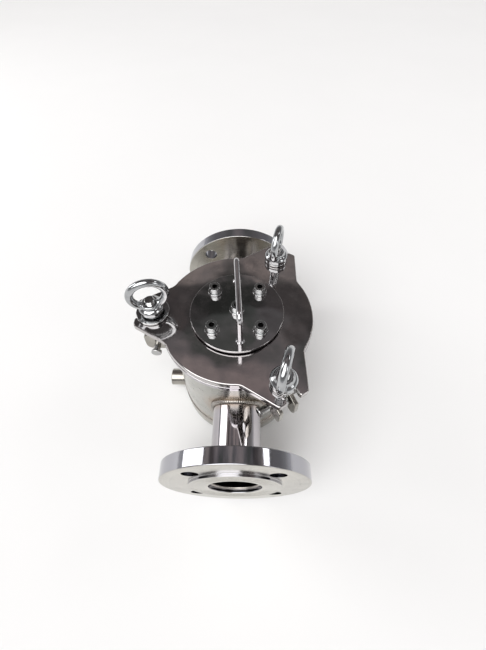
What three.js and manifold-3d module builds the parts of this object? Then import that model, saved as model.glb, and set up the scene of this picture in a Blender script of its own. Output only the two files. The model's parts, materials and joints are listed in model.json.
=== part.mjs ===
// Magnetic basket strainer, DN50, built as an assembly of separate solids.
//
// Frame: millimetres, +Z up. The origin is the centre of the flat vessel bottom.
// +Y is the flow axis (outlet flange at -Y, inlet flange at +Y) and +X is to its right.
// Three swing-bolt clamps stand round the lid: one on the left, two on the right.

import * as THREE from 'three';
import { mergeVertices } from 'three/addons/utils/BufferGeometryUtils.js';
import Module from 'manifold-3d';

const wasm = await Module();
wasm.setup();

// ---------------------------------------------------------------- driving dimensions

const GAP = 0.3;                 // clearance kept between touching pieces
const CUT_MARGIN = 5;            // how far a cutting tool runs past what it cuts

const AXIS_Z = 96;               // nozzle axis above the vessel bottom
const LID_TOP_Z = AXIS_Z + 94;

const VESSEL_R = 79.5;           // DN150 tube, 159 mm outside
const VESSEL_WALL = 3;
const KNUCKLE_R = 14;            // pressed edge of the bottom cap
const CAP_TOP_Z = 36;

const LID_R = 89.3;
const LID_T = 8.2;
const BODY_RING_R = 89.5;
const BODY_RING_T = 5.7;
const LOBE_TIP = 119.5;          // lobe tip from the vessel axis
const LOBE_TIP_HALF = 18;
const LOBE_ROOT_HALF = 40;
const LOBE_CORNER_R = 4;
const SLOT_HALF = 7.5;           // open slot that takes the swing bolt
const SLOT_INSET = 1;            // slot end inboard of the swing-bolt axis

const HALF_FACE_TO_FACE = 163;
const FLANGE_R = 82.5;           // DN50 PN16 flange: 165 / 125 / 4 x 18
const FLANGE_T = 17;
const RAISED_FACE_R = 51;
const RAISED_FACE_T = 3;
const BOLT_CIRCLE_R = 62.5;
const BOLT_HOLE_R = 9;
const FLANGE_BORE_R = 29.1;
const PIPE_R = 28.5;
const PIPE_WALL = 3;
const PIPE_SETBACK = 5;          // pipe end behind the sealing face

const O_RING_MID_R = 85;
const O_RING_HALF = 1.8;
const O_RING_GROOVE_HALF = 2.2;
const O_RING_GROOVE_DEPTH = 3.9;

const PLATE_R = 54.8;            // round magnet plate on the lid
const PLATE_T = 2.7;
const PLATE_TOP_Z = LID_TOP_Z + 5.7;
const GASKET_R = 52.4;
const ROD_OFFSET = 27;           // outer rods stand at the corners of this half-square
const ROD_R = 12.2;
const ROD_BOTTOM_Z = 33.5;
const SLEEVE_R = 14;
const SLEEVE_BORE_R = 12.9;
const SLEEVE_BOTTOM_Z = 31;
const SLEEVE_END_T = 2;
const ROD_HOLE_R = 4.1;          // blind tapped hole in the top of each rod
const ROD_HOLE_DEPTH = 17;
const SCREW_R = 3.8;             // M8 socket-head screw that holds a rod to the plate
const SCREW_LENGTH = 20;
const SCREW_HOLE_R = 4.5;
const SCREW_HEAD_R = 6.5;
const SCREW_HEAD_T = 8;
const SCREW_SOCKET_R = 3.46;     // across corners
const SCREW_SOCKET_DEPTH = 4;
const ROD_WASHER_R = 8.5;
const ROD_WASHER_T = 1.6;

const HANDLE_ROD_R = 3.2;
const HANDLE_RISE = 42.5;        // bar axis above the plate
const HANDLE_BEND_R = 5;
const HANDLE_NEAR_FOOT = [4.7, -41.1];
const HANDLE_FAR_FOOT = [-0.8, 43.7];
const HANDLE_FOOT_R = 5.2;
const HANDLE_FOOT_T = 2.4;

const BASKET_R = 66;
const BASKET_WALL = 1.2;
const BASKET_BOTTOM_Z = 14;
const BASKET_TOP_Z = 147;
const BASKET_WINDOW_R = 27;
const SEAT_INNER_R = 68;
const SEAT_T = 3;
const RIM_R = 75.8;
const RIM_T = 3;
const GRIP_ROD_R = 2.5;
const GRIP_X = 67;
const GRIP_HALF_SPAN = 20;
const GRIP_RISE = 22;

const DRAIN_Z = 18;
const DRAIN_R = 12;
const DRAIN_BORE_R = 7.6;
const DRAIN_END = 102;           // coupling end from the vessel axis
const PLUG_R = 7.2;
const PLUG_LENGTH = 15;
const PLUG_RECESS = 2;
const PLUG_SOCKET_R = 4.6;
const PLUG_SOCKET_DEPTH = 6;

const CLAMP_R = 99;              // swing-bolt axis from the vessel axis
const PIVOT_Z = LID_TOP_Z - 46;
const SHANK_R = 5.9;             // M12 swing bolt
const SHANK_TOP_Z = LID_TOP_Z + 25;
const EYE_R = 9.5;
const EYE_HALF_WIDTH = 6;
const PIN_R = 4;
const PIN_HOLE_R = 4.4;
const PIN_LONG_END = 29;         // pin end beyond the bolt axis, head side
const PIN_SHORT_END = 20;
const PIN_HEAD_R = 6.3;
const PIN_HEAD_T = 3.5;
const PIN_NUT_FLATS = 13;
const PIN_NUT_T = 5.5;
const EAR_INNER = 7.5;           // clevis ears: inner face and thickness
const EAR_T = 5;
const EAR_REACH = 116;
const EAR_CORNER_R = 9;
const EAR_TOP_Z = LID_TOP_Z - 27;
const EAR_BOTTOM_Z = LID_TOP_Z - 63;
const EAR_SLOPE_RUN = 24;        // the ears' top edge slopes down to the tip
const EAR_SLOPE_DROP = 9;
const CLEVIS_BACK = 84;          // outer face of the clevis back plate

const WASHER_LIFT = 0.8;         // slackened washer above the lid
const WASHER_T = 2.5;
const WASHER_BORE_R = 6.5;
const NUT_BORE_R = 6.3;
const COLLAR_R = 14.5;
const COLLAR_T = 8.5;
const RING_ROD_R = 4.7;
const RING_MID_R = 19.9;
const RING_RISE = 26;            // ring centre above the bottom of the collar
const BOSS_R = 10.5;
const BOSS_RISE = 12.5;
const NECK_R = 8.5;              // neck that lifts the left nut's collar off its washer

// azimuth of each clamp, its washer, the nut's neck, how far the ring is turned on the bolt,
// and the side of the clevis that the pin head is on
const STATIONS = [
  { name: 'left', azimuth: 180, washerR: 19.5, neck: 4, ringTurn: 15, pinSide: 1 },
  { name: 'right_rear', azimuth: 60, washerR: 14.5, neck: 0, ringTurn: 15, pinSide: -1 },
  { name: 'right_front', azimuth: -60, washerR: 14.5, neck: 0, ringTurn: -47, pinSide: -1 },
];

const RODS = [
  { name: 'centre', x: 0, y: 0 },
  { name: 'front_left', x: -ROD_OFFSET, y: -ROD_OFFSET },
  { name: 'front_right', x: ROD_OFFSET, y: -ROD_OFFSET },
  { name: 'rear_left', x: -ROD_OFFSET, y: ROD_OFFSET },
  { name: 'rear_right', x: ROD_OFFSET, y: ROD_OFFSET },
];

const NOZZLES = [
  { name: 'outlet', turn: 0 },
  { name: 'inlet', turn: 180 },
];

const LARGE_SEGMENTS = 48;
const MEDIUM_SEGMENTS = 32;
const SMALL_SEGMENTS = 16;
const TINY_SEGMENTS = 12;

// ---------------------------------------------------------------- materials

function metal(color, roughness, metalness = 1) {
  return new THREE.MeshStandardMaterial({ color, roughness, metalness });
}

const MIRROR_STEEL = metal(0x8d8b88, 0.12);
const SATIN_STEEL = metal(0xb9b4a8, 0.35);
const MACHINED_STEEL = metal(0xcfc8b8, 0.3);
const BRIGHT_STEEL = metal(0xd6d8da, 0.15);
const MESH_STEEL = metal(0x9a9a96, 0.4);
const RUBBER = metal(0x1c1c1c, 0.8, 0);

// ---------------------------------------------------------------- geometry helpers

const radians = THREE.MathUtils.degToRad;

function polar(radius, degrees) {
  return [radius * Math.cos(radians(degrees)), radius * Math.sin(radians(degrees))];
}

function toSolid(geometry) {
  const bare = geometry.index ? geometry.clone() : mergeVertices(geometry);
  bare.deleteAttribute('normal');
  bare.deleteAttribute('uv');
  const merged = mergeVertices(bare, 1e-4);
  const index = merged.index.array;
  const triangles = [];
  for (let i = 0; i < index.length; i += 3) {
    const [a, b, c] = [index[i], index[i + 1], index[i + 2]];
    if (a !== b && b !== c && c !== a) triangles.push(a, b, c);
  }
  return new wasm.Manifold(new wasm.Mesh({
    numProp: 3,
    vertProperties: new Float32Array(merged.attributes.position.array),
    triVerts: new Uint32Array(triangles),
  }));
}

function toGeometry(solid) {
  const mesh = solid.getMesh();
  const geometry = new THREE.BufferGeometry();
  geometry.setAttribute('position', new THREE.BufferAttribute(mesh.vertProperties, 3));
  geometry.setIndex(new THREE.BufferAttribute(mesh.triVerts, 1));
  geometry.computeVertexNormals();
  return geometry;
}

// A solid of revolution about Z. The profile is a list of [radius, z], walked with the
// material on its left; a ring's profile closes on itself, a full one ends on the axis.
function revolve(profile, segments) {
  const points = profile.map(([radius, z]) => new THREE.Vector2(radius, z));
  const geometry = new THREE.LatheGeometry(points, segments);
  geometry.rotateX(Math.PI / 2);
  return toSolid(geometry);
}

function ring(innerR, outerR, z0, z1, segments) {
  return revolve([[innerR, z0], [outerR, z0], [outerR, z1], [innerR, z1], [innerR, z0]], segments);
}

function disc(radius, z0, z1, segments) {
  return revolve([[0, z0], [radius, z0], [radius, z1], [0, z1]], segments);
}

function hexagon(acrossFlats, z0, z1) {
  return disc(acrossFlats / Math.sqrt(3), z0, z1, 6);
}

function prism(outline, z0, z1) {
  const shape = new THREE.Shape(outline.map(([x, y]) => new THREE.Vector2(x, y)));
  const geometry = new THREE.ExtrudeGeometry(shape, { depth: z1 - z0, bevelEnabled: false });
  geometry.translate(0, 0, z0);
  return toSolid(geometry);
}

function box(x0, x1, y0, y1, z0, z1) {
  const geometry = new THREE.BoxGeometry(x1 - x0, y1 - y0, z1 - z0);
  geometry.translate((x0 + x1) / 2, (y0 + y1) / 2, (z0 + z1) / 2);
  return toSolid(geometry);
}

// A round rod bent along a list of corner points, with every corner rounded.
function bentRod(corners, bendR, rodR, sides, bendSteps) {
  const path = new THREE.CurvePath();
  const points = corners.map((corner) => new THREE.Vector3(...corner));
  let start = points[0];
  for (let i = 1; i < points.length - 1; i += 1) {
    const before = points[i - 1].clone().sub(points[i]).setLength(bendR).add(points[i]);
    const after = points[i + 1].clone().sub(points[i]).setLength(bendR).add(points[i]);
    path.add(new THREE.LineCurve3(start, before));
    path.add(new THREE.QuadraticBezierCurve3(before, points[i], after));
    start = after;
  }
  path.add(new THREE.LineCurve3(start, points[points.length - 1]));
  const shape = new THREE.Shape(circleOutline(rodR, sides).map(([x, y]) => new THREE.Vector2(x, y)));
  const geometry = new THREE.ExtrudeGeometry(shape, { extrudePath: path, steps: bendSteps });
  return toSolid(geometry);
}

function circleOutline(radius, segments) {
  return Array.from({ length: segments }, (unused, i) => polar(radius, (360 * i) / segments));
}

// Turns a solid made along +Z so that it lies along the horizontal direction at azimuth.
function lieAlong(solid, azimuth) {
  return solid.rotate([0, 90, 0]).rotate([0, 0, azimuth]);
}

// ---------------------------------------------------------------- assembly helpers

const strainer = new THREE.Group();

function addNode(name, solid, material, parent = strainer) {
  const mesh = new THREE.Mesh(toGeometry(solid), material);
  mesh.name = name;
  parent.add(mesh);
}

// ---------------------------------------------------------------- vessel

const SHELL_BOTTOM_Z = CAP_TOP_Z + GAP;
const BODY_RING_TOP_Z = LID_TOP_Z - LID_T - GAP;
const VESSEL_BORE_R = VESSEL_R - VESSEL_WALL;
const PIPE_BORE_R = PIPE_R - PIPE_WALL;

function makeShell() {
  const tube = ring(VESSEL_BORE_R, VESSEL_R, SHELL_BOTTOM_Z, BODY_RING_TOP_Z - GAP, LARGE_SEGMENTS);
  const reach = VESSEL_R + CUT_MARGIN;
  const bore = disc(PIPE_BORE_R, -reach, reach, MEDIUM_SEGMENTS);
  return tube.subtract(lieAlong(bore, 90).translate([0, 0, AXIS_Z]));
}

function makeBottomCap() {
  const flatR = VESSEL_R - KNUCKLE_R;
  const arc = (radius, fromDegrees, toDegrees) => [0, 1, 2, 3].map((step) => {
    const [x, z] = polar(radius, fromDegrees + ((toDegrees - fromDegrees) * step) / 3);
    return [flatR + x, KNUCKLE_R + z];
  });
  const shell = revolve([
    [0, 0], ...arc(KNUCKLE_R, -90, 0), [VESSEL_R, CAP_TOP_Z],
    [VESSEL_BORE_R, CAP_TOP_Z], ...arc(KNUCKLE_R - VESSEL_WALL, 0, -90), [0, VESSEL_WALL],
  ], LARGE_SEGMENTS);
  const bore = disc(DRAIN_BORE_R, VESSEL_BORE_R - 2 * CUT_MARGIN, VESSEL_R + CUT_MARGIN, SMALL_SEGMENTS);
  return shell.subtract(lieAlong(bore, 180).translate([0, 0, DRAIN_Z]));
}

function makeBodyRing() {
  const bottom = BODY_RING_TOP_Z - BODY_RING_T;
  const grooveBottom = BODY_RING_TOP_Z - O_RING_GROOVE_DEPTH;
  const innerR = VESSEL_R + GAP;
  const [grooveIn, grooveOut] = [O_RING_MID_R - O_RING_GROOVE_HALF, O_RING_MID_R + O_RING_GROOVE_HALF];
  return revolve([
    [innerR, bottom], [BODY_RING_R, bottom], [BODY_RING_R, BODY_RING_TOP_Z],
    [grooveOut, BODY_RING_TOP_Z], [grooveOut, grooveBottom],
    [grooveIn, grooveBottom], [grooveIn, BODY_RING_TOP_Z],
    [innerR, BODY_RING_TOP_Z], [innerR, bottom],
  ], LARGE_SEGMENTS);
}

function makeLidSeal() {
  const bottom = BODY_RING_TOP_Z - O_RING_GROOVE_DEPTH + GAP;
  const half = O_RING_HALF;
  const cord = [[-half, half], [0, 0], [half, half], [0, 2 * half], [-half, half]];
  return revolve(cord.map(([r, z]) => [O_RING_MID_R + r, bottom + z]), LARGE_SEGMENTS);
}

addNode('vessel_shell', makeShell(), SATIN_STEEL);
addNode('bottom_cap', makeBottomCap(), SATIN_STEEL);
addNode('body_ring', makeBodyRing(), MIRROR_STEEL);
addNode('lid_seal', makeLidSeal(), RUBBER);

// ---------------------------------------------------------------- nozzles and flanges

function makePipe() {
  const tube = ring(PIPE_BORE_R, PIPE_R, 0, HALF_FACE_TO_FACE - PIPE_SETBACK, MEDIUM_SEGMENTS);
  const saddle = disc(VESSEL_R + GAP, -2 * PIPE_R, 2 * PIPE_R, LARGE_SEGMENTS);
  return lieAlong(tube, -90).subtract(saddle).translate([0, 0, AXIS_Z]);
}

function makeFlange() {
  const face = HALF_FACE_TO_FACE;
  const shoulder = face - RAISED_FACE_T;
  const back = shoulder - FLANGE_T;
  let flange = revolve([
    [FLANGE_BORE_R, back], [FLANGE_R, back], [FLANGE_R, shoulder],
    [RAISED_FACE_R, shoulder], [RAISED_FACE_R, face], [FLANGE_BORE_R, face], [FLANGE_BORE_R, back],
  ], LARGE_SEGMENTS);
  for (const degrees of [45, 135, 225, 315]) {
    const [x, y] = polar(BOLT_CIRCLE_R, degrees);
    const hole = disc(BOLT_HOLE_R, back - CUT_MARGIN, face + CUT_MARGIN, SMALL_SEGMENTS);
    flange = flange.subtract(hole.translate([x, y, 0]));
  }
  return lieAlong(flange, -90).translate([0, 0, AXIS_Z]);
}

for (const nozzle of NOZZLES) {
  const side = new THREE.Group();
  side.rotation.z = radians(nozzle.turn);
  addNode(`${nozzle.name}_pipe`, makePipe(), MIRROR_STEEL, side);
  addNode(`${nozzle.name}_flange`, makeFlange(), MACHINED_STEEL, side);
  strainer.add(side);
}

// ---------------------------------------------------------------- basket

function makeBasketScreen() {
  const wall = ring(BASKET_R - BASKET_WALL, BASKET_R, BASKET_BOTTOM_Z, BASKET_TOP_Z, LARGE_SEGMENTS);
  const window = disc(BASKET_WINDOW_R, 0, BASKET_R + CUT_MARGIN, MEDIUM_SEGMENTS);
  return wall.subtract(lieAlong(window, 90).translate([0, 0, AXIS_Z]));
}

function makeGrip(side) {
  const foot = BASKET_TOP_Z + GAP + RIM_T + GAP;
  const x = side * GRIP_X;
  return bentRod([
    [x, -GRIP_HALF_SPAN, foot], [x, -GRIP_HALF_SPAN, foot + GRIP_RISE],
    [x, GRIP_HALF_SPAN, foot + GRIP_RISE], [x, GRIP_HALF_SPAN, foot],
  ], HANDLE_BEND_R, GRIP_ROD_R, 8, 14);
}

const RIM_Z = BASKET_TOP_Z + GAP;

addNode('basket_seat', ring(SEAT_INNER_R, VESSEL_BORE_R - GAP, BASKET_TOP_Z - SEAT_T, BASKET_TOP_Z,
  LARGE_SEGMENTS), SATIN_STEEL);
addNode('basket_screen', makeBasketScreen(), MESH_STEEL);
addNode('basket_rim', ring(BASKET_R + GAP, RIM_R, RIM_Z, RIM_Z + RIM_T, LARGE_SEGMENTS), SATIN_STEEL);
addNode('basket_bottom', disc(BASKET_R - BASKET_WALL - GAP, BASKET_BOTTOM_Z, BASKET_BOTTOM_Z + BASKET_WALL,
  LARGE_SEGMENTS), MESH_STEEL);
addNode('basket_grip_left', makeGrip(-1), SATIN_STEEL);
addNode('basket_grip_right', makeGrip(1), SATIN_STEEL);

// ---------------------------------------------------------------- lid

// Points of a rounded corner between two straight edges, walked from a through corner to b.
function roundedCorner(a, corner, b, radius, steps) {
  const [from, middle, to] = [a, corner, b].map(([x, y]) => new THREE.Vector2(x, y));
  const start = from.sub(middle).setLength(radius).add(middle);
  const end = to.sub(middle).setLength(radius).add(middle);
  const curve = new THREE.QuadraticBezierCurve(start, middle, end);
  return curve.getPoints(steps).map((point) => [point.x, point.y]);
}

// One lobe in its own frame, pointing along +X: flat tip, open slot, tapered flanks.
function lobeOutline() {
  const rootX = Math.sqrt(LID_R ** 2 - LOBE_ROOT_HALF ** 2);
  const half = [
    [rootX, -LOBE_ROOT_HALF],
    ...roundedCorner([rootX, -LOBE_ROOT_HALF], [LOBE_TIP, -LOBE_TIP_HALF], [LOBE_TIP, 0], LOBE_CORNER_R, 3),
    [LOBE_TIP, -SLOT_HALF],
  ];
  const slotEnd = [];
  for (let degrees = -90; degrees >= -270; degrees -= 30) {
    const [x, y] = polar(SLOT_HALF, degrees);
    slotEnd.push([CLAMP_R - SLOT_INSET + x, y]);
  }
  const mirrored = half.map(([x, y]) => [x, -y]).reverse();
  return [...half, ...slotEnd, ...mirrored];
}

function turned(outline, degrees) {
  const [c, s] = polar(1, degrees);
  return outline.map(([x, y]) => [x * c - y * s, x * s + y * c]);
}

// The lid's outline walks the three lobes, joined by arcs of the lid circle.
function lidOutline() {
  const rootAngle = THREE.MathUtils.radToDeg(Math.asin(LOBE_ROOT_HALF / LID_R));
  const arcSteps = 9;
  const outline = [];
  for (const azimuth of STATIONS.map((station) => station.azimuth).reverse()) {
    outline.push(...turned(lobeOutline(), azimuth));
    const start = azimuth + rootAngle;
    const sweep = 120 - 2 * rootAngle;
    for (let i = 1; i < arcSteps; i += 1) outline.push(polar(LID_R, start + (sweep * i) / arcSteps));
  }
  return outline;
}

function rodHoles(radius, z0, z1) {
  const holes = RODS.map((rod) => disc(radius, z0, z1, SMALL_SEGMENTS).translate([rod.x, rod.y, 0]));
  return holes.reduce((joined, hole) => joined.add(hole));
}

function makeLid() {
  const bottom = LID_TOP_Z - LID_T;
  return prism(lidOutline(), bottom, LID_TOP_Z)
    .subtract(rodHoles(SLEEVE_R + GAP, bottom - CUT_MARGIN, LID_TOP_Z + CUT_MARGIN));
}

function makeSleeve() {
  const top = LID_TOP_Z - GAP;
  return revolve([
    [0, SLEEVE_BOTTOM_Z], [SLEEVE_R, SLEEVE_BOTTOM_Z], [SLEEVE_R, top], [SLEEVE_BORE_R, top],
    [SLEEVE_BORE_R, SLEEVE_BOTTOM_Z + SLEEVE_END_T], [0, SLEEVE_BOTTOM_Z + SLEEVE_END_T],
  ], SMALL_SEGMENTS);
}

addNode('lid', makeLid(), MIRROR_STEEL);
for (const rod of RODS) {
  addNode(`sleeve_${rod.name}`, makeSleeve().translate([rod.x, rod.y, 0]), SATIN_STEEL);
}

// ---------------------------------------------------------------- magnet plate

const PLATE_BOTTOM_Z = PLATE_TOP_Z - PLATE_T;

function makePlate() {
  const holes = rodHoles(SCREW_HOLE_R, PLATE_BOTTOM_Z - CUT_MARGIN, PLATE_TOP_Z + CUT_MARGIN);
  return disc(PLATE_R, PLATE_BOTTOM_Z, PLATE_TOP_Z, LARGE_SEGMENTS).subtract(holes);
}

function makePlateGasket() {
  const [bottom, top] = [LID_TOP_Z + GAP, PLATE_BOTTOM_Z - GAP];
  return disc(GASKET_R, bottom, top, LARGE_SEGMENTS)
    .subtract(rodHoles(ROD_R + GAP, bottom - CUT_MARGIN, top + CUT_MARGIN));
}

function makeRod() {
  const top = PLATE_BOTTOM_Z - GAP;
  const holeBottom = top - ROD_HOLE_DEPTH;
  return revolve([
    [0, ROD_BOTTOM_Z], [ROD_R, ROD_BOTTOM_Z], [ROD_R, top], [ROD_HOLE_R, top],
    [ROD_HOLE_R, holeBottom], [0, holeBottom],
  ], SMALL_SEGMENTS);
}

const ROD_WASHER_Z = PLATE_TOP_Z + GAP;

function makeRodWasher() {
  return ring(SCREW_HOLE_R, ROD_WASHER_R, ROD_WASHER_Z, ROD_WASHER_Z + ROD_WASHER_T, SMALL_SEGMENTS);
}

function makeRodScrew() {
  const seat = ROD_WASHER_Z + ROD_WASHER_T + GAP;
  const top = seat + SCREW_HEAD_T;
  const screw = revolve([
    [0, seat - SCREW_LENGTH], [SCREW_R, seat - SCREW_LENGTH], [SCREW_R, seat],
    [SCREW_HEAD_R, seat], [SCREW_HEAD_R, top], [0, top],
  ], SMALL_SEGMENTS);
  return screw.subtract(disc(SCREW_SOCKET_R, top - SCREW_SOCKET_DEPTH, top + CUT_MARGIN, 6));
}

function makeHandle() {
  const foot = PLATE_TOP_Z + GAP;
  const bar = PLATE_TOP_Z + HANDLE_RISE;
  const [near, far] = [HANDLE_NEAR_FOOT, HANDLE_FAR_FOOT];
  const rod = bentRod([[...near, foot], [...near, bar], [...far, bar], [...far, foot]],
    HANDLE_BEND_R, HANDLE_ROD_R, 8, 20);
  const pads = [near, far].map(([x, y]) => disc(HANDLE_FOOT_R, foot, foot + HANDLE_FOOT_T, TINY_SEGMENTS)
    .translate([x, y, 0]));
  return rod.add(pads[0]).add(pads[1]);
}

addNode('magnet_plate', makePlate(), MIRROR_STEEL);
addNode('plate_gasket', makePlateGasket(), RUBBER);
addNode('lift_handle', makeHandle(), BRIGHT_STEEL);
for (const rod of RODS) {
  addNode(`magnet_rod_${rod.name}`, makeRod().translate([rod.x, rod.y, 0]), SATIN_STEEL);
  addNode(`rod_washer_${rod.name}`, makeRodWasher().translate([rod.x, rod.y, 0]), BRIGHT_STEEL);
  addNode(`rod_screw_${rod.name}`, makeRodScrew().translate([rod.x, rod.y, 0]), BRIGHT_STEEL);
}

// ---------------------------------------------------------------- drain

function makeDrainCoupling() {
  const tube = ring(DRAIN_BORE_R, DRAIN_R, 0, DRAIN_END, SMALL_SEGMENTS);
  const saddle = disc(VESSEL_R + GAP, -2 * DRAIN_R, 2 * DRAIN_R, LARGE_SEGMENTS);
  return lieAlong(tube, 180).subtract(saddle).translate([0, 0, DRAIN_Z]);
}

function makeDrainPlug() {
  const end = DRAIN_END - PLUG_RECESS;
  const socketR = PLUG_SOCKET_R;
  const plug = disc(PLUG_R, end - PLUG_LENGTH, end, SMALL_SEGMENTS)
    .subtract(disc(socketR, end - PLUG_SOCKET_DEPTH, end + CUT_MARGIN, 6));
  return lieAlong(plug, 180).translate([0, 0, DRAIN_Z]);
}

addNode('drain_coupling', makeDrainCoupling(), SATIN_STEEL);
addNode('drain_plug', makeDrainPlug(), BRIGHT_STEEL);

// ---------------------------------------------------------------- swing-bolt clamps
// Each clamp is built in its own frame: +X is radially outward, +Y is tangential.

function upright(solid) {
  return solid.rotate([90, 0, 0]);
}

function makeClevis() {
  const back = VESSEL_R - CUT_MARGIN;
  const slope = [[EAR_REACH - EAR_SLOPE_RUN, EAR_TOP_Z], [EAR_REACH, EAR_TOP_Z - EAR_SLOPE_DROP]];
  const outline = [
    [back, EAR_BOTTOM_Z],
    ...roundedCorner([back, EAR_BOTTOM_Z], [EAR_REACH, EAR_BOTTOM_Z], [EAR_REACH, EAR_TOP_Z], EAR_CORNER_R, 4),
    slope[1], slope[0], [back, EAR_TOP_Z],
  ];
  const outer = EAR_INNER + EAR_T;
  const block = upright(prism(outline, -outer, outer));
  const slot = box(CLEVIS_BACK, EAR_REACH + CUT_MARGIN, -EAR_INNER, EAR_INNER,
    EAR_BOTTOM_Z - CUT_MARGIN, EAR_TOP_Z + CUT_MARGIN);
  const wall = disc(VESSEL_R + GAP, EAR_BOTTOM_Z - CUT_MARGIN, EAR_TOP_Z + CUT_MARGIN, LARGE_SEGMENTS);
  const pinHole = upright(disc(PIN_HOLE_R, -2 * outer, 2 * outer, TINY_SEGMENTS))
    .translate([CLAMP_R, 0, PIVOT_Z]);
  return block.subtract(slot).subtract(wall).subtract(pinHole);
}

function makeSwingBolt() {
  const eye = upright(disc(EYE_R, -EYE_HALF_WIDTH, EYE_HALF_WIDTH, SMALL_SEGMENTS));
  const shank = disc(SHANK_R, 0, SHANK_TOP_Z - PIVOT_Z, SMALL_SEGMENTS);
  const pinHole = upright(disc(PIN_HOLE_R, -2 * EYE_HALF_WIDTH, 2 * EYE_HALF_WIDTH, TINY_SEGMENTS));
  return eye.add(shank).subtract(pinHole).translate([CLAMP_R, 0, PIVOT_Z]);
}

function makePin(side) {
  const neck = PIN_LONG_END - PIN_HEAD_T;
  const shank = disc(PIN_R, -PIN_SHORT_END, neck + GAP, TINY_SEGMENTS);
  const head = disc(PIN_HEAD_R, neck, PIN_LONG_END, TINY_SEGMENTS);
  const towardSide = shank.add(head).rotate([side * -90, 0, 0]);
  return towardSide.translate([CLAMP_R, 0, PIVOT_Z]);
}

function makePinNut(side) {
  const start = EAR_INNER + EAR_T + GAP;
  const bore = disc(PIN_R + GAP, start - CUT_MARGIN, start + PIN_NUT_T + CUT_MARGIN, TINY_SEGMENTS);
  const nut = hexagon(PIN_NUT_FLATS, start, start + PIN_NUT_T).subtract(bore);
  return nut.rotate([side * 90, 0, 0]).translate([CLAMP_R, 0, PIVOT_Z]);
}

const WASHER_Z = LID_TOP_Z + WASHER_LIFT;
const COLLAR_Z = WASHER_Z + WASHER_T + GAP;

function makeRingNut(neck, turn) {
  const base = COLLAR_Z + neck;
  const top = base + BOSS_RISE;
  const collar = disc(COLLAR_R, base, base + COLLAR_T, SMALL_SEGMENTS);
  const barrel = disc(NECK_R, COLLAR_Z, top, SMALL_SEGMENTS);
  const boss = disc(BOSS_R, base, top, SMALL_SEGMENTS);
  const loop = upright(toSolid(new THREE.TorusGeometry(RING_MID_R, RING_ROD_R, 8, 24)))
    .translate([0, 0, base + RING_RISE]);
  const bore = disc(NUT_BORE_R, COLLAR_Z - CUT_MARGIN, top + CUT_MARGIN, SMALL_SEGMENTS);
  const nut = collar.add(barrel).add(boss).add(loop).rotate([0, 0, turn]);
  return nut.subtract(bore).translate([CLAMP_R, 0, 0]);
}

for (const station of STATIONS) {
  const clamp = new THREE.Group();
  clamp.rotation.z = radians(station.azimuth);
  const washer = ring(WASHER_BORE_R, station.washerR, WASHER_Z, WASHER_Z + WASHER_T, SMALL_SEGMENTS);
  addNode(`${station.name}_clevis`, makeClevis(), SATIN_STEEL, clamp);
  addNode(`${station.name}_swing_bolt`, makeSwingBolt(), BRIGHT_STEEL, clamp);
  addNode(`${station.name}_pin`, makePin(station.pinSide), BRIGHT_STEEL, clamp);
  addNode(`${station.name}_pin_nut`, makePinNut(station.pinSide), BRIGHT_STEEL, clamp);
  addNode(`${station.name}_washer`, washer.translate([CLAMP_R, 0, 0]), BRIGHT_STEEL, clamp);
  addNode(`${station.name}_ring_nut`, makeRingNut(station.neck, station.ringTurn), BRIGHT_STEEL, clamp);
  strainer.add(clamp);
}

export default strainer;
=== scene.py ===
"""Looks of the DN50 magnetic basket strainer: fine meshes, steel finishes, floor, light and camera.

Shapes are made in millimetres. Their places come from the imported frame; each piece rides on
the body of the CAD node that it replaces.
"""

import json
import math

import bmesh
import bpy
import numpy as np
from mathutils import Matrix, Vector


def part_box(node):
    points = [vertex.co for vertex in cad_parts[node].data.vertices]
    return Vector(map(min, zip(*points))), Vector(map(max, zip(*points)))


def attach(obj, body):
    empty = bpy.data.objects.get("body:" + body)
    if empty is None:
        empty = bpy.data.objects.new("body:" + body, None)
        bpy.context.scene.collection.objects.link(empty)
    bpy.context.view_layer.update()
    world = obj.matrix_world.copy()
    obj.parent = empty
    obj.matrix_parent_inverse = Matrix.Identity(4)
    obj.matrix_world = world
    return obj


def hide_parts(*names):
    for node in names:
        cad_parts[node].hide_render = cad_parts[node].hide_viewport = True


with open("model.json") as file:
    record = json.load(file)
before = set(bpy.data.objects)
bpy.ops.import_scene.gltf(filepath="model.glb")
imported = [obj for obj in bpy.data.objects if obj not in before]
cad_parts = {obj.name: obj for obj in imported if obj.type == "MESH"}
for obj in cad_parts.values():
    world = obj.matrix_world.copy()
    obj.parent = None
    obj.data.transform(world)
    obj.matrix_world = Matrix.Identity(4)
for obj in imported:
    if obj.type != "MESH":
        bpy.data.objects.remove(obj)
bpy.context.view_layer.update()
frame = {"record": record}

MM = 0.001
TAU = 2 * math.pi
scene = bpy.context.scene


# ---------------------------------------------------------------- places, from the frame

def span(node):
    """Lowest and highest corner of a CAD node, in millimetres."""
    low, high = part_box(node)
    return low / MM, high / MM


def middle(node):
    low, high = span(node)
    return (low + high) / 2


def body_of(node):
    return next(body for body, nodes in frame["record"]["behaviour"]["bodies"].items() if node in nodes)


LID_BOTTOM, LID_TOP = (corner.z for corner in span("lid"))
AXIS_Z = middle("outlet_flange").z
FACE = -span("outlet_flange")[0].y
FLANGE_R = span("outlet_flange")[1].x
FLANGE_BACK = -span("outlet_flange")[1].y
PIPE_R = span("outlet_pipe")[1].x
PIPE_END = -span("outlet_pipe")[0].y
VESSEL_R = span("vessel_shell")[1].x
LID_R = 89.3
LOBE_TIP = -span("lid")[0].x
VESSEL_WALL = 3
VESSEL_BORE = VESSEL_R - VESSEL_WALL
PIPE_BORE = PIPE_R - VESSEL_WALL

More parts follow.
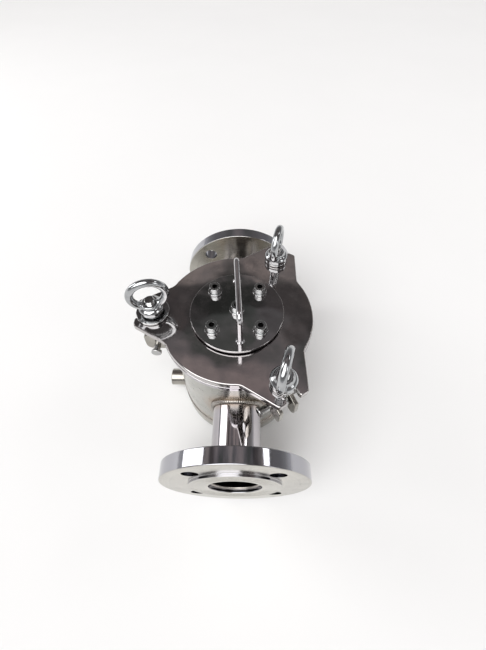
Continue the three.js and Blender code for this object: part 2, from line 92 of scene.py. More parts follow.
STATIONS = ("left", "right_rear", "right_front")
RING_TURN = {"left": 15, "right_rear": 15, "right_front": -47}
RODS = ("centre", "front_left", "front_right", "rear_left", "rear_right")
PIVOT_DROP = 46                       # swing-bolt pivot below the lid's top
PIN_HOLE_R = 4.4
EAR_INNER, EAR_T = 7.5, 5.0           # half the gap between a clevis's ears, and their thickness
LOOP_R, LOOP_ROD, LOOP_RISE = 19.9, 4.7, 26       # ring nut: loop, its bar, its centre above the seat


# ---------------------------------------------------------------- mesh helpers

def build(name, points, faces):
    """An object from points in millimetres and faces, with its normals made consistent."""
    mesh = bpy.data.meshes.new(name)
    mesh.from_pydata((np.asarray(points, float) * MM).tolist(), [], faces)
    bm = bmesh.new()
    bm.from_mesh(mesh)
    bmesh.ops.recalc_face_normals(bm, faces=bm.faces)
    bm.to_mesh(mesh)
    bm.free()
    obj = bpy.data.objects.new(name, mesh)
    scene.collection.objects.link(obj)
    return obj


def skin(name, loops, wrap=False):
    """A closed body through a row of equal loops: capped at both ends, or wrapped round on itself."""
    loops = np.asarray(loops, float)
    rows, size = loops.shape[:2]
    faces = []
    for row in range(rows if wrap else rows - 1):
        a, b = row * size, (row + 1) % rows * size
        for i in range(size):
            j = (i + 1) % size
            faces.append((a + i, a + j, b + j, b + i))
    if not wrap:
        faces.append(tuple(range(size))[::-1])
        faces.append(tuple(range((rows - 1) * size, rows * size)))
    return build(name, loops.reshape(-1, 3), faces)


def rounded(points, closed=True, steps=4):
    """Rounds those corners of a polygon that carry a radius as a third number."""
    result = []
    count = len(points)
    for i, point in enumerate(points):
        corner = np.array(point[:2], float)
        if len(point) < 3 or (not closed and i in (0, count - 1)):
            result.append(corner)
            continue
        before = np.array(points[i - 1][:2], float) - corner
        after = np.array(points[(i + 1) % count][:2], float) - corner
        lengths = np.linalg.norm(before), np.linalg.norm(after)
        before, after = before / lengths[0], after / lengths[1]
        half = math.acos(np.clip(before @ after, -1, 1)) / 2
        reach = min(point[2] / math.tan(half), 0.48 * lengths[0], 0.48 * lengths[1])
        for t in np.linspace(0, 1, steps + 1):
            start, end = corner + before * reach, corner + after * reach
            result.append((1 - t) ** 2 * start + 2 * t * (1 - t) * corner + t * t * end)
    return result


def circle(radius, count, start=0.0):
    return [(radius * math.cos(start + TAU * i / count), radius * math.sin(start + TAU * i / count))
            for i in range(count)]


def lathe(name, profile, segments=96):
    """A body turned about Z. A profile that starts on the axis gets flat ends, any other is a ring."""
    solid = profile[0][0] == 0
    line = rounded(profile, closed=not solid)
    if solid:
        line = line[1:-1]
    loops = [[(x, y, z) for x, y in circle(radius, segments)] for radius, z in line]
    return skin(name, loops, wrap=not solid)


def inset(outline, distance):
    """A counter-clockwise outline moved inwards."""
    points = np.asarray(outline, float)
    ahead = np.roll(points, -1, axis=0) - points
    ahead /= np.linalg.norm(ahead, axis=1)[:, None]
    behind = np.roll(ahead, 1, axis=0)
    inward = np.stack([-(ahead + behind)[:, 1], (ahead + behind)[:, 0]], axis=1)
    length = np.linalg.norm(inward, axis=1)[:, None]
    return points + inward / length * distance / (length / 2)


def prism(name, outline, z0, z1, edge=0.8, steps=4):
    """An upright slab from a counter-clockwise outline, with both rims rounded over."""
    quarter = np.linspace(0, math.pi / 2, steps + 1)
    rim = [(edge * (1 - math.sin(a)), edge * (1 - math.cos(a))) for a in quarter]
    levels = [(side, z0 + drop) for side, drop in rim] + [(side, z1 - drop) for side, drop in rim[::-1]]
    loops = [[(x, y, z) for x, y in inset(outline, side)] for side, z in levels]
    return skin(name, loops)


def tube(name, path, radius, sides=24, closed=False):
    """A round rod along a path. radius is a number, or a function of (place 0-1, angle)."""
    path = np.asarray(path, float)
    count = len(path)
    if closed:
        ahead = np.roll(path, -1, axis=0) - np.roll(path, 1, axis=0)
    else:
        ahead = np.gradient(path, axis=0)
    ahead /= np.linalg.norm(ahead, axis=1)[:, None]
    side = np.cross(ahead[0], (0.31, 0.17, 0.93))
    loops = []
    for i in range(count):
        side = side - ahead[i] * (side @ ahead[i])
        side /= np.linalg.norm(side)
        up = np.cross(ahead[i], side)
        loop = []
        for angle in np.linspace(0, TAU, sides, endpoint=False):
            r = radius(i / count, angle) if callable(radius) else radius
            loop.append(path[i] + r * (math.cos(angle) * side + math.sin(angle) * up))
        loops.append(loop)
    return skin(name, loops, wrap=closed)


def turn(obj, axis, degrees):
    obj.data.transform(Matrix.Rotation(math.radians(degrees), 4, axis))
    return obj


def move(obj, x=0.0, y=0.0, z=0.0):
    obj.data.transform(Matrix.Translation(Vector((x, y, z)) * MM))
    return obj


def copy_of(obj, name):
    twin = bpy.data.objects.new(name, obj.data.copy())
    scene.collection.objects.link(twin)
    return twin


def bake(obj):
    """Turns an object's modifiers into its mesh."""
    depsgraph = bpy.context.evaluated_depsgraph_get()
    old = obj.data
    mesh = bpy.data.meshes.new_from_object(obj.evaluated_get(depsgraph), preserve_all_data_layers=True,
                                           depsgraph=depsgraph)
    obj.modifiers.clear()
    obj.data = mesh
    bpy.data.meshes.remove(old)
    return obj


def combine(obj, operation, tools):
    for tool in tools:
        modifier = obj.modifiers.new("combine", "BOOLEAN")
        modifier.operation = operation
        modifier.solver = "EXACT"
        modifier.object = tool
    bake(obj)
    for tool in tools:
        mesh = tool.data
        bpy.data.objects.remove(tool)
        bpy.data.meshes.remove(mesh)
    return obj


def carve(obj, *tools):
    return combine(obj, "DIFFERENCE", tools)


def merge(obj, *tools):
    return combine(obj, "UNION", tools)


def soften(obj, width, above=60, segments=3):
    """Rounds over the edges that turn by more than the given angle."""
    modifier = obj.modifiers.new("soften", "BEVEL")
    modifier.width = width * MM
    modifier.segments = segments
    modifier.limit_method = "ANGLE"
    modifier.angle_limit = math.radians(above)
    modifier.use_clamp_overlap = True
    return bake(obj)


def finish(obj, material, nodes=(), body=None, sharp=42):
    """Smooths an object, gives it its material and hands it to the frame."""
    obj.data.shade_smooth()
    obj.data.set_sharp_from_angle(angle=math.radians(sharp))
    modifier = obj.modifiers.new("normals", "WEIGHTED_NORMAL")
    modifier.keep_sharp = True
    bake(obj)
    obj.data.materials.clear()
    obj.data.materials.append(material)
    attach(obj, body or body_of(nodes[0]))
    if nodes:
        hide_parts(*nodes)
    return obj


# ---------------------------------------------------------------- materials

def add(tree, kind, inputs=None, **settings):
    """A shader node. An input is a value or another node's output."""
    node = tree.nodes.new("ShaderNode" + kind)
    for key, value in settings.items():
        setattr(node, key, value)
    for socket, value in (inputs or {}).items():
        if isinstance(value, bpy.types.NodeSocket):
            tree.links.new(value, node.inputs[socket])
        else:
            node.inputs[socket].default_value = value
    return node


def noise(tree, vector, scale, detail=3.0, rough=0.55):
    return add(tree, "TexNoise", {"Vector": vector, "Scale": scale, "Detail": detail, "Roughness": rough})


def stretched(tree, vector, scale):
    return add(tree, "VectorMath", {0: vector, 1: scale}, operation="MULTIPLY").outputs[0]


def ranged(tree, value, low, high, new_low, new_high):
    return add(tree, "MapRange", {"Value": value, "From Min": low, "From Max": high,
                                  "To Min": new_low, "To Max": new_high}).outputs[0]


def turned_place(tree, vector, centre):
    """(distance from an axis along Y, place along it) as a vector, for marks left by a lathe."""
    shifted = add(tree, "VectorMath", {0: vector, 1: tuple(-c for c in centre)}, operation="ADD").outputs[0]
    flat = add(tree, "VectorMath", {0: shifted, 1: (1, 0, 1)}, operation="MULTIPLY").outputs[0]
    radius = add(tree, "VectorMath", {0: flat}, operation="LENGTH").outputs["Value"]
    along = add(tree, "SeparateXYZ", {0: shifted}).outputs["Y"]
    return add(tree, "CombineXYZ", {0: radius, 1: along}).outputs[0]


def steel(name, dark, light, roughness, patch=14.0, smudge=70.0, grain=None, grain_depth=0.0,
          waves=None, turned=None, specks=0.0, tint=None):
    """Stainless steel. dark and light mix in broad patches, roughness is a (low, high) pair driven by
    smudges, grain is the brushing's fineness along X, Y, Z per metre, waves is (fineness, depth) of the
    slow waviness of rolled or cast metal, turned is the centre of a lathe-turned face, specks the depth of
    casting grain, and tint a colour laid where the mesh's tint attribute is high: heat tint beside welds,
    and painted shade inside screw sockets. A turned face keeps a smoother rim."""
    material = bpy.data.materials.new(name)
    material.use_nodes = True
    tree = material.node_tree
    tree.nodes.clear()
    place = add(tree, "TexCoord").outputs["Object"]
    patches = noise(tree, place, patch, 4.0).outputs["Fac"]
    fine = noise(tree, place, smudge * 5, 5.0, 0.65).outputs["Fac"]
    blotch = ranged(tree, patches, 0.34, 0.66, 0.0, 1.0)
    color = add(tree, "Mix", {"Factor": blotch, "A": (*dark, 1), "B": (*light, 1)}, data_type="RGBA")
    color = color.outputs["Result"]
    smudges = noise(tree, place, smudge, 6.0, 0.62).outputs["Fac"]
    mixed = add(tree, "Math", {0: smudges, 1: fine}, operation="MULTIPLY").outputs[0]
    rough = ranged(tree, mixed, 0.14, 0.40, roughness[0], roughness[1])
    bump = None

    def raise_by(height, depth):
        inputs = {"Height": height, "Strength": 1.0, "Distance": depth * MM}
        if bump is not None:
            inputs["Normal"] = bump
        return add(tree, "Bump", inputs).outputs["Normal"]

    if waves:
        bump = raise_by(noise(tree, place, waves[0], 2.0, 0.45).outputs["Fac"], waves[1])
    if grain:
        lines = noise(tree, stretched(tree, place, grain), 1.0, 3.0, 0.7).outputs["Fac"]
        bump = raise_by(lines, grain_depth)
    if turned:
        marks = stretched(tree, turned_place(tree, place, turned), (2600, 0, 0))
        bump = raise_by(noise(tree, marks, 1.0, 3.0, 0.6).outputs["Fac"], grain_depth)
        broad = stretched(tree, turned_place(tree, place, turned), (420, 0, 0))
        bands = noise(tree, broad, 1.0, 2.0).outputs["Fac"]
        shade = ranged(tree, bands, 0.35, 0.65, 0.86, 1.06)
        color = add(tree, "VectorMath", {0: color, "Scale": shade}, operation="SCALE").outputs[0]
        normal = add(tree, "TexCoord").outputs["Normal"]
        across = add(tree, "SeparateXYZ", {0: normal}).outputs["Y"]
        facing = add(tree, "Math", {0: across}, operation="ABSOLUTE")
        flat = ranged(tree, facing.outputs[0], 0.3, 0.9, 0.0, 1.0)
        duller = ranged(tree, flat, 0.0, 1.0, 0.42, 1.0)
        rough = add(tree, "Math", {0: rough, 1: duller}, operation="MULTIPLY").outputs[0]
        color = add(tree, "Mix", {"Factor": flat, "A": (0.42, 0.42, 0.45, 1), "B": color}, data_type="RGBA")
        color = color.outputs["Result"]
    if specks:
        pits = noise(tree, place, 900.0, 3.0, 0.6).outputs["Fac"]
        bump = raise_by(pits, specks)
    # one mesh attribute drives this tint: heat tint beside welds, and painted shade inside screw sockets
    if tint:
        heat_tint_and_painted_shade = add(tree, "Attribute", attribute_name="heat_tint_and_painted_shade", attribute_type="GEOMETRY").outputs["Fac"]
        uneven = add(tree, "Math", {0: heat_tint_and_painted_shade, 1: ranged(tree, smudges, 0.35, 0.65, 0.55, 1.15)},
                     operation="MULTIPLY", use_clamp=True).outputs[0]
        color = add(tree, "Mix", {"Factor": uneven, "A": color, "B": (*tint, 1)}, data_type="RGBA")
        color = color.outputs["Result"]
    shader = add(tree, "BsdfPrincipled", {"Base Color": color, "Roughness": rough, "Metallic": 1.0})
    if bump is not None:
        tree.links.new(bump, shader.inputs["Normal"])
    output = add(tree, "OutputMaterial")
    tree.links.new(shader.outputs[0], output.inputs["Surface"])
    return material


def rubber(name):
    material = bpy.data.materials.new(name)
    material.use_nodes = True
    tree = material.node_tree
    shader = tree.nodes["Principled BSDF"]
    place = add(tree, "TexCoord").outputs["Object"]
    dust = noise(tree, place, 60.0, 5.0).outputs["Fac"]
    color = add(tree, "Mix", {"Factor": ranged(tree, dust, 0.4, 0.7, 0.0, 1.0),
                              "A": (0.012, 0.012, 0.013, 1), "B": (0.04, 0.038, 0.036, 1)}, data_type="RGBA")
    tree.links.new(color.outputs["Result"], shader.inputs["Base Color"])
    tree.links.new(ranged(tree, dust, 0.3, 0.7, 0.55, 0.8), shader.inputs["Roughness"])
    grain = noise(tree, place, 1500.0, 2.0).outputs["Fac"]
    bump = add(tree, "Bump", {"Height": grain, "Strength": 0.6, "Distance": 0.05 * MM})
    tree.links.new(bump.outputs["Normal"], shader.inputs["Normal"])
    return material


MIRROR = steel("mirror_plate", (0.42, 0.40, 0.40), (0.54, 0.52, 0.51), (0.03, 0.14), patch=13,
               waves=(15, 1.6), grain=(60, 900, 200), grain_depth=0.0015)
MIRROR_PLATE = steel("mirror_disc", (0.42, 0.41, 0.41), (0.53, 0.52, 0.52), (0.03, 0.12), patch=20,
                     waves=(19, 1.0), grain=(700, 90, 200), grain_depth=0.0012)
POLISHED = steel("polished_pipe", (0.42, 0.40, 0.42), (0.54, 0.52, 0.53), (0.03, 0.11), patch=22,
                 waves=(30, 0.12), grain=(900, 40, 900), grain_depth=0.002, tint=(0.40, 0.32, 0.26))
SATIN = steel("satin_shell", (0.37, 0.37, 0.34), (0.48, 0.47, 0.44), (0.18, 0.32), patch=18, smudge=45,
              waves=(20, 0.25), grain=(120, 120, 2400), grain_depth=0.006, tint=(0.40, 0.31, 0.23))
SATIN_PART = steel("satin_part", (0.34, 0.325, 0.295), (0.46, 0.44, 0.40), (0.15, 0.30), patch=40,
                   grain=(1500, 1500, 150), grain_depth=0.006, tint=(0.34, 0.26, 0.19))
TURNED = steel("turned_flange", (0.46, 0.445, 0.405), (0.56, 0.54, 0.49), (0.14, 0.28), patch=20,
               turned=(0, 0, AXIS_Z * MM), grain_depth=0.004)
CHROME = steel("bright_cast", (0.36, 0.37, 0.38), (0.50, 0.51, 0.52), (0.04, 0.15), patch=60,
               waves=(130, 0.10), specks=0.010)
BRIGHT = steel("bright_fastener", (0.42, 0.42, 0.42), (0.56, 0.56, 0.56), (0.06, 0.20), patch=60,
               grain=(1200, 1200, 1200), grain_depth=0.004)
WIRE = steel("bright_rod", (0.46, 0.45, 0.46), (0.60, 0.59, 0.60), (0.05, 0.15), patch=40,
             waves=(90, 0.08), grain=(900, 60, 900), grain_depth=0.003)
PERFORATED = steel("perforated_sheet", (0.38, 0.38, 0.37), (0.50, 0.50, 0.48), (0.22, 0.40), patch=40,
                   grain=(300, 300, 1800), grain_depth=0.008)
WELD = steel("weld_bead", (0.26, 0.24, 0.22), (0.46, 0.43, 0.40), (0.12, 0.32), patch=110, smudge=160,
             specks=0.02)
# its tint is near-black painted shade for the inside of the hexagon sockets
SCREW = steel("socket_screw", (0.42, 0.43, 0.43), (0.56, 0.57, 0.57), (0.08, 0.22), patch=80,
              grain=(1200, 1200, 1200), grain_depth=0.004, tint=(0.015, 0.015, 0.015))
RUBBER = rubber("black_rubber")


# ---------------------------------------------------------------- weld beads

def bead(name, path, radius, body="vessel", closed=True):
    """A weld bead: a thick line of overlapping ripples along a path."""
    path = np.asarray(path, float)
    steps = np.linalg.norm(np.diff(path, axis=0), axis=1)
    length = steps.sum()
    ripples = round(length / 2.3)

    def swell(place, angle):
        wave = (place * ripples + 0.16 * math.cos(angle)) % 1
        return radius * (0.90 + 0.16 * math.sin(math.pi * wave))

    return finish(tube(name, path, swell, sides=12, closed=closed), WELD, body=body, sharp=70)


def saddle(radius, wall, reach, count):
    """The line where a pipe of that radius along -Y meets an upright cylinder of radius wall."""
    return [(x, -math.sqrt((wall + reach) ** 2 - x * x), z) for x, z in circle(radius, count)]


def ring_path(radius, z, count):
    return [(x, y, z) for x, y in circle(radius, count)]


def tarnish_near(obj, lines, reach):
    """Stores how close each vertex is to the weld lines, as heat tint in the mesh attribute that also carries
    painted shade inside screw sockets.
    """
    points = np.array([vertex.co for vertex in obj.data.vertices]) / MM
    targets = np.concatenate([np.asarray(line, float) for line in lines])
    nearest = np.full(len(points), 1e9)
    for target in targets:
        nearest = np.minimum(nearest, np.linalg.norm(points - target, axis=1))
    heat_tint_and_painted_shade = obj.data.attributes.new("heat_tint_and_painted_shade", "FLOAT", "POINT")
    heat_tint_and_painted_shade.data.foreach_set("value", np.clip(1 - nearest / reach, 0, 1).astype(np.float32))
    return obj


# ---------------------------------------------------------------- vessel

def lying(obj, azimuth):
    """Turns a body made along +Z so that it points along the horizontal direction at azimuth."""
    return turn(turn(obj, "Y", 90), "Z", azimuth)


def rod_shape(name, radius, z0, z1, segments=64):
    return lathe(name, [(0, z0), (radius, z0), (radius, z1), (0, z1)], segments)


def make_shell():
    low, high = span("vessel_shell")
    rows = np.linspace(low.z, high.z, 40)
    outer = [[(x, y, z) for x, y in circle(VESSEL_R, 180)] for z in rows]
    inner = [[(x, y, z) for x, y in circle(VESSEL_BORE, 180)] for z in rows[::-1]]
    shell = skin("vessel_shell_mesh", outer + inner, wrap=True)
    bore = lying(rod_shape("bore", PIPE_BORE, -VESSEL_R - 5, VESSEL_R + 5), 90)
    carve(shell, move(bore, z=AXIS_Z))
    around = saddle(PIPE_R + 2, VESSEL_R, 0, 48)
    lines = [[(x, side * y, z + AXIS_Z) for x, y, z in around] for side in (1, -1)]
    lines.append(ring_path(VESSEL_R, low.z, 90))
    tarnish_near(shell, lines, 15)
    finish(shell, SATIN, ["vessel_shell"])
    bead("weld_cap_seam", ring_path(VESSEL_R - 1.0, low.z, 720), 1.9)
    under_ring = span("body_ring")[0].z
    bead("weld_body_ring", ring_path(VESSEL_R + 0.8, under_ring - 0.6, 720), 1.7)


def make_cap():
    low, high = span("bottom_cap")
    drain = middle("drain_coupling")
    knuckle = 14
    flat = VESSEL_R - knuckle

    def arc(radius, start, end):
        return [(flat + radius * math.cos(a), low.z + knuckle + radius * math.sin(a))
                for a in np.linspace(math.radians(start), math.radians(end), 13)]

    profile = [(0, low.z), *arc(knuckle, -90, 0), (VESSEL_R, (low.z + high.z) / 2), (VESSEL_R, high.z),
               (VESSEL_BORE, high.z), *arc(knuckle - VESSEL_WALL, 0, -90), (0, low.z + VESSEL_WALL)]
    cap = lathe("bottom_cap_mesh", profile, 180)
    bore = lying(rod_shape("bore", 7.6, VESSEL_R - 12, VESSEL_R + 8, 48), 180)
    carve(cap, move(bore, z=drain.z))
    tarnish_near(cap, [ring_path(VESSEL_R, high.z, 90)], 10)
    finish(cap, SATIN, ["bottom_cap"])


def make_body_ring():
    low, high = span("body_ring")
    radius = high.x
    groove_in, groove_out, groove_z = 82.8, 87.2, high.z - 3.9
    inner = VESSEL_R + 0.3
    profile = [(inner, low.z), (radius, low.z, 0.9), (radius, high.z, 0.9), (groove_out, high.z, 0.2),
               (groove_out, groove_z, 0.4), (groove_in, groove_z, 0.4), (groove_in, high.z, 0.2),
               (inner, high.z)]
    finish(lathe("body_ring_mesh", profile, 180), POLISHED, ["body_ring"])
    low, high = span("lid_seal")
    cord = (high.z - low.z) / 2
    section = [(high.x - cord + x, low.z + cord + z) for x, z in circle(cord, 16)]
    finish(lathe("lid_seal_mesh", section, 144), RUBBER, ["lid_seal"])


# ---------------------------------------------------------------- nozzles

def make_pipe(side, turned_by):
    gap = 0.3
    loops = []
    for radius, ends in ((PIPE_R, (0, 1)), (PIPE_BORE, (1, 0))):
        for t in np.linspace(*ends, 24):
            start = [math.sqrt((VESSEL_R + gap) ** 2 - x * x) for x, z in circle(radius, 96)]
            loops.append([(x, -(s + (PIPE_END - s) * t), z + AXIS_Z)
                          for (x, z), s in zip(circle(radius, 96), start)])
    pipe = turn(skin(f"{side}_pipe_mesh", loops, wrap=True), "Z", turned_by)
    sign = 1 if turned_by == 0 else -1
    weld = [(x, sign * y, z + AXIS_Z) for x, y, z in saddle(PIPE_R, VESSEL_R, 2, 48)]
    back = [(x, -sign * FLANGE_BACK, z + AXIS_Z) for x, z in circle(PIPE_R, 48)]
    tarnish_near(pipe, [weld, back], 9)
    finish(pipe, POLISHED, [f"{side}_pipe"])
    around = [(x, sign * y, z + AXIS_Z) for x, y, z in saddle(PIPE_R + 0.9, VESSEL_R, 1.0, 300)]
    bead(f"weld_{side}_saddle", around, 3.1)
    for label, radius, y, size in (("back", PIPE_R + 0.6, FLANGE_BACK - 0.8, 2.3),
                                   ("bore", PIPE_R - 1.2, PIPE_END, 1.7)):
        line = [(x, -sign * y, z + AXIS_Z) for x, z in circle(radius, 300)]
        bead(f"weld_{side}_{label}", line, size)


def make_flange(side, turned_by):
    bore = PIPE_R + 0.6
    raised, shoulder = 51, FACE - 3
    groove_pitch, groove_depth = 1.6, 0.16
    profile = [(bore, FLANGE_BACK, 0.6), (FLANGE_R, FLANGE_BACK, 1.2), (FLANGE_R, shoulder, 1.2),
               (raised, shoulder, 0.5), (raised, FACE, 0.5)]
    for radius in np.arange(raised - 2.0, bore + 4.5, -groove_pitch):
        profile += [(radius, FACE), (radius - 0.3 * groove_pitch, FACE - groove_depth),
                    (radius - 0.6 * groove_pitch, FACE)]
    profile.append((bore, FACE, 0.9))
    flange = lathe(f"{side}_flange_mesh", profile, 192)
    holes = []
    for x, y in circle(62.5, 4, math.radians(45)):
        hole = rod_shape("hole", 9, FLANGE_BACK - 5, FACE + 5, 48)
        holes.append(move(hole, x, y))
    carve(flange, *holes)
    soften(flange, 0.7, above=65)
    turn(turn(flange, "X", 90), "Z", turned_by)
    finish(move(flange, z=AXIS_Z), TURNED, [f"{side}_flange"], sharp=50)


# ---------------------------------------------------------------- basket

def make_basket_screen():
    """Perforated sheet, laid out flat with staggered holes, rolled up and thickened."""
    low, high = span("basket_screen")
    radius, wall = high.x, 1.2
    around, rows = 66, 20
    hem = 5.0
    girth = TAU * radius
    pitch = girth / around
    row_height = (high.z - low.z - 2 * hem) / rows
    hole = 1.9
    window_r, window_at = 27, (girth / 2, AXIS_Z)
    bm = bmesh.new()
    corners = {}

    def corner(half_steps, row):
        key = (half_steps % (2 * around), row)
        if key not in corners:
            corners[key] = bm.verts.new((key[0] * pitch / 2, low.z + hem + row * row_height, 0))
        return corners[key]

    kept_edges = {}
    for row in range(rows):
        for column in range(around):
            left = 2 * column + row % 2
            centre = ((left + 1) * pitch / 2, low.z + hem + (row + 0.5) * row_height)
            if math.dist(centre, window_at) < window_r + 0.75 * pitch:
                continue
            outer = [corner(left, row), corner(left + 1, row), corner(left + 2, row),
                     corner(left + 2, row + 1), corner(left + 1, row + 1), corner(left, row + 1)]
            start = math.atan2(-row_height / 2, -pitch / 2)
            inner = [bm.verts.new((centre[0] + hole * math.cos(start + TAU * k / 12),
                                   centre[1] + hole * math.sin(start + TAU * k / 12), 0)) for k in range(12)]
            for k in range(6):
                ring = [inner[(2 * k + 2) % 12], inner[2 * k + 1], inner[2 * k]]
                bm.faces.new([outer[k], outer[(k + 1) % 6], *ring])
            for k in range(6):
                ends = frozenset((outer[k], outer[(k + 1) % 6]))
                kept_edges[ends] = kept_edges.get(ends, 0) + 1
    inside = (low.z + hem + 1, high.z - hem - 1)
    border = [ends for ends, uses in kept_edges.items()
              if uses == 1 and all(inside[0] < vertex.co.y < inside[1] for vertex in ends)]
    rim = [bm.verts.new((window_at[0] + x, window_at[1] + y, 0)) for x, y in circle(window_r, 72)]
    edges = [bm.edges.new((rim[i], rim[(i + 1) % 72])) for i in range(72)]
    edges += [bm.edges.get(tuple(ends)) for ends in border]
    bmesh.ops.triangle_fill(bm, edges=edges, use_beauty=True)
    for row, level in ((0, low.z), (rows, high.z)):
        hem_line = [bm.verts.new((i * pitch / 2, level, 0)) for i in range(2 * around)]
        for i in range(2 * around):
            j = (i + 1) % (2 * around)
            bm.faces.new((corner(i, row), corner(j, row), hem_line[j], hem_line[i]))
    for vertex in bm.verts:
        angle = vertex.co.x / radius - math.pi / 2
        vertex.co = Vector((radius * math.cos(angle), radius * math.sin(angle), vertex.co.y)) * MM
    for face in [f for f in bm.faces if f.calc_area() < 1e-12]:
        bm.faces.remove(face)
    bmesh.ops.recalc_face_normals(bm, faces=bm.faces)
    mesh = bpy.data.meshes.new("basket_screen_mesh")
    bm.to_mesh(mesh)
    bm.free()
    screen = bpy.data.objects.new("basket_screen_mesh", mesh)
    scene.collection.objects.link(screen)
    outward = sum((Vector(f.center).xy.dot(f.normal.xy) for f in mesh.polygons)) > 0
    modifier = screen.modifiers.new("wall", "SOLIDIFY")
    modifier.thickness = wall * MM
    modifier.offset = -1 if outward else 1
    bake(screen)
    finish(screen, PERFORATED, ["basket_screen"], sharp=50)


def make_basket_fittings():
    low, high = span("basket_seat")
    inner = 68
    profile = [(inner, low.z, 0.5), (high.x, low.z), (high.x, high.z), (inner, high.z, 0.5)]
    finish(lathe("basket_seat_mesh", profile, 144), SATIN_PART, ["basket_seat"])
    low, high = span("basket_rim")
    inner = span("basket_screen")[1].x + 0.3
    profile = [(inner, low.z, 0.5), (high.x, low.z, 0.9), (high.x, high.z, 0.9), (inner, high.z, 0.5)]
    finish(lathe("basket_rim_mesh", profile, 144), SATIN_PART, ["basket_rim"])
    low, high = span("basket_bottom")
    dish = 0.35
    profile = [(0, low.z), (high.x, low.z, 0.3), (high.x, high.z, 0.3), (high.x - 5, high.z, 0.3),
               (high.x - 7, high.z - dish, 0.3), (0, high.z - dish)]
    finish(lathe("basket_bottom_mesh", profile, 144), PERFORATED, ["basket_bottom"])
    for side in ("left", "right"):
        low, high = span(f"basket_grip_{side}")
        x, rod = (low.x + high.x) / 2, 2.5
        corners = [(low.y + rod, low.z), (low.y + rod, high.z - rod, 7), (high.y - rod, high.z - rod, 7),
                   (high.y - rod, low.z)]
        path = [(x, y, z) for y, z in rounded(corners, closed=False, steps=8)]
        finish(tube(f"basket_grip_{side}_mesh", path, rod, 20), SATIN_PART, [f"basket_grip_{side}"])


# ---------------------------------------------------------------- lid

def lobe_outline():
    """One lobe pointing along +X: tapered flanks, round-cornered flat tip and an open slot."""
    root_half, tip_half, slot_half, slot_at = 40, 18, 7.5, 98
    root = math.sqrt(LID_R ** 2 - root_half ** 2)
    half = [(root, -root_half, 16), (LOBE_TIP, -tip_half, 4.5), (LOBE_TIP, -slot_half, 3.2)]
    end = [(slot_at + slot_half * math.cos(a), slot_half * math.sin(a))
           for a in np.linspace(-math.pi / 2, -1.5 * math.pi, 17)]
    return half + end + [(x, -y, *r) for x, y, *r in half[::-1]]


def lid_outline():
    root_angle = math.degrees(math.asin(40 / LID_R))
    outline = []
    for azimuth in (-60, 60, 180):
        c, s = math.cos(math.radians(azimuth)), math.sin(math.radians(azimuth))
        outline += [(x * c - y * s, x * s + y * c, *r) for x, y, *r in lobe_outline()]
        for degrees in np.linspace(azimuth + root_angle + 6, azimuth + 120 - root_angle - 6, 14):
            outline.append((LID_R * math.cos(math.radians(degrees)), LID_R * math.sin(math.radians(degrees))))
    return rounded(outline, steps=6)


def rod_holes(radius, z0, z1):
    holes = []
    for rod in RODS:
        centre = middle(f"magnet_rod_{rod}")
        holes.append(move(rod_shape("hole", radius, z0, z1, 48), centre.x, centre.y))
    return holes


def make_lid():
    lid = prism("lid_mesh", lid_outline(), LID_BOTTOM, LID_TOP, edge=1.5, steps=5)
    carve(lid, *rod_holes(14.3, LID_BOTTOM - 5, LID_TOP + 5))
    finish(lid, MIRROR, ["lid"], sharp=50)
    wall = 1.1
    for rod in RODS:
        low, high = span(f"sleeve_{rod}")
        radius = (high.x - low.x) / 2
        centre = middle(f"sleeve_{rod}")
        profile = [(0, low.z), (radius, low.z, 1.0), (radius, high.z, 0.2), (radius - wall, high.z, 0.3),
                   (radius - wall, low.z + 2, 1.0), (0, low.z + 2)]
        sleeve = move(lathe(f"sleeve_{rod}_mesh", profile, 64), centre.x, centre.y)
        finish(sleeve, SATIN_PART, [f"sleeve_{rod}"])


# ---------------------------------------------------------------- magnet cartridge

def make_plate():
    low, high = span("magnet_plate")
    profile = [(0, low.z), (high.x, low.z, 0.4), (high.x, high.z, 0.7), (0, high.z)]
    plate = lathe("magnet_plate_mesh", profile, 192)
    carve(plate, *rod_holes(4.5, low.z - 3, high.z + 3))
    finish(plate, MIRROR_PLATE, ["magnet_plate"], sharp=50)
    low, high = span("plate_gasket")
    profile = [(0, low.z), (high.x, low.z, 0.4), (high.x, high.z, 0.4), (0, high.z)]
    gasket = lathe("plate_gasket_mesh", profile, 144)
    carve(gasket, *rod_holes(12.5, low.z - 3, high.z + 3))
    finish(gasket, RUBBER, ["plate_gasket"], sharp=50)


def make_rods():
    for rod in RODS:
        node = f"magnet_rod_{rod}"
        low, high = span(node)
        radius = (high.x - low.x) / 2
        hole, seam = 4.1, low.z + 7
        profile = [(0, low.z), (radius, low.z, 1.6), (radius, seam), (radius - 0.35, seam + 0.4),
                   (radius, seam + 0.8), (radius, high.z, 0.6), (hole, high.z, 0.4), (hole, high.z - 17),
                   (0, high.z - 17)]
        centre = middle(node)
        rod_mesh = move(lathe(node + "_mesh", profile, 64), centre.x, centre.y)
        finish(rod_mesh, POLISHED, [node])


def make_screw():
    """An M8 socket-head screw with a knurled head, standing on z = 0."""
    head, height, shank, length = 6.5, 8.0, 3.8, 20.0
    socket, depth = 3.46, 4.0
    flutes, flute_depth = 32, 0.22
    profile = [(0, -length), (shank, -length, 0.8), (shank, 0), (head, 0, 0.5), (head, 0.9), (head, 6.4),
               (head, 6.8), (head, height, 0.8), (0, height)]
    loops = []
    for radius, z in rounded(profile, closed=False)[1:-1]:
        knurled = radius > head - 0.01 and 0.8 < z < 6.5
        ring = []
        for i in range(4 * flutes):
            angle = TAU * i / (4 * flutes)
            r = radius - flute_depth * (0.5 - 0.5 * math.cos(flutes * angle)) if knurled else radius
            ring.append((r * math.cos(angle), r * math.sin(angle), z))
        loops.append(ring)
    screw = skin("screw", loops)
    carve(screw, lathe("socket", [(0, height - depth), (socket, height - depth), (socket, height - 0.5),
                                  (socket, height + 2), (0, height + 2)], 6))
    # the inside of the socket is marked for painted shade
    return shade_socket(soften(screw, 0.15, above=58, segments=2), socket, height - 0.4, height - depth - 0.5)


